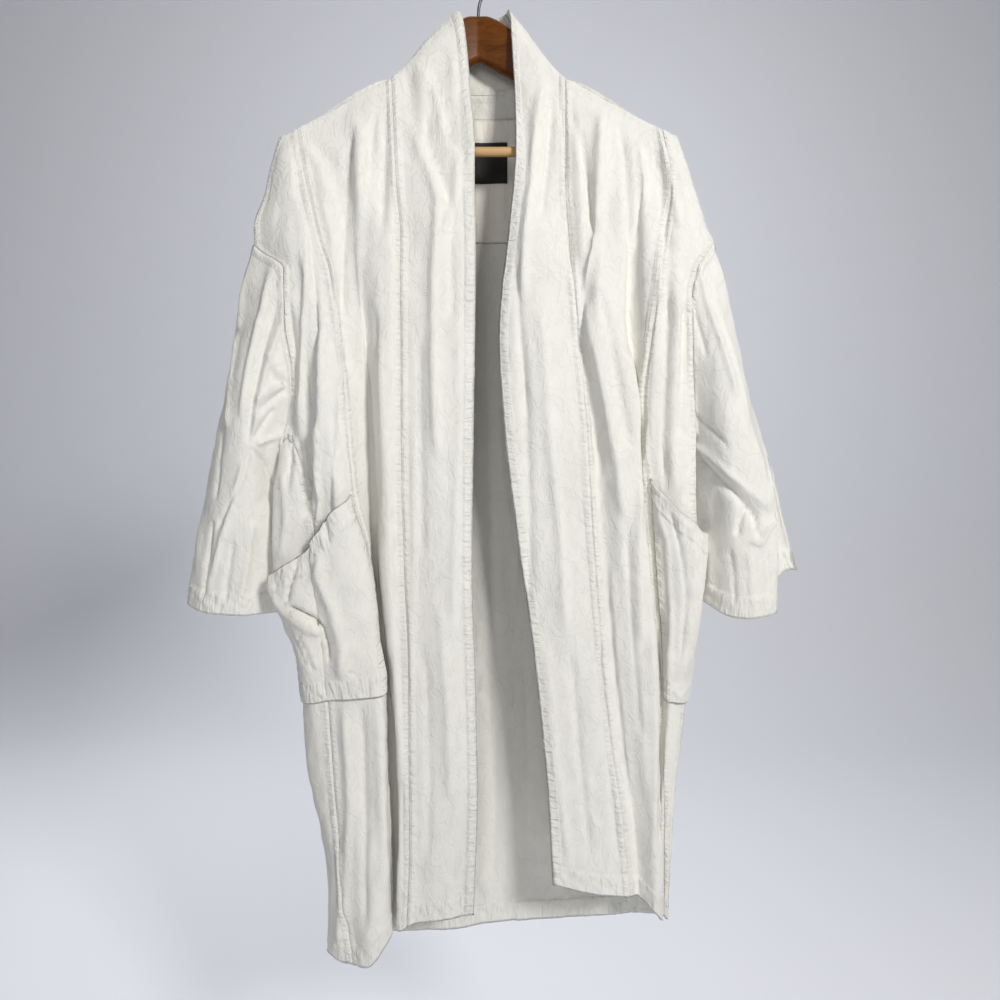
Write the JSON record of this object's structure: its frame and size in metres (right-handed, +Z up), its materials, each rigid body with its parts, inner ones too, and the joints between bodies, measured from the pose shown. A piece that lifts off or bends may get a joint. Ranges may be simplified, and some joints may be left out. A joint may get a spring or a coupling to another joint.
{
  "type": "overcoat on a hanger",
  "caption": "A long open-front coat with a straight band collar, dropped elbow-length sleeves and slanted patch pockets, hanging on a wooden hanger.",
  "frame": {"origin": "the top of the inside of the hook's curl, where the hanger hangs on a rod or a wall hook", "axes": "+Z up, +X towards the wearer's left, and the coat's open front faces -Y"},
  "size_m": [0.7251, 0.1215, 1.1755],
  "materials": {
    "coat_cloth": "washed cotton and linen, matt, crinkled",
    "lining_cloth": "plain matt lining",
    "label_cloth": "plain black woven patch",
    "hanger_wood": "clear varnish",
    "hanger_bar": "clear varnish",
    "hook_steel": "dulled steel wire"
  },
  "bodies": {
    "root": {"band_right": "coat_cloth", "front_right": "coat_cloth", "side_front_right": "coat_cloth", "side_back_right": "coat_cloth", "back_centre": "coat_cloth", "side_back_left": "coat_cloth", "side_front_left": "coat_cloth", "front_left": "coat_cloth", "band_left": "coat_cloth", "neck_band": "coat_cloth", "sleeve_right": "coat_cloth", "sleeve_left": "coat_cloth", "pocket_right": "coat_cloth", "pocket_left": "coat_cloth", "yoke_lining": "lining_cloth", "label": "label_cloth", "hanger_wood": "hanger_wood", "hanger_bar": "hanger_bar", "hanger_hook": "hook_steel"}
  },
  "joints": []
}
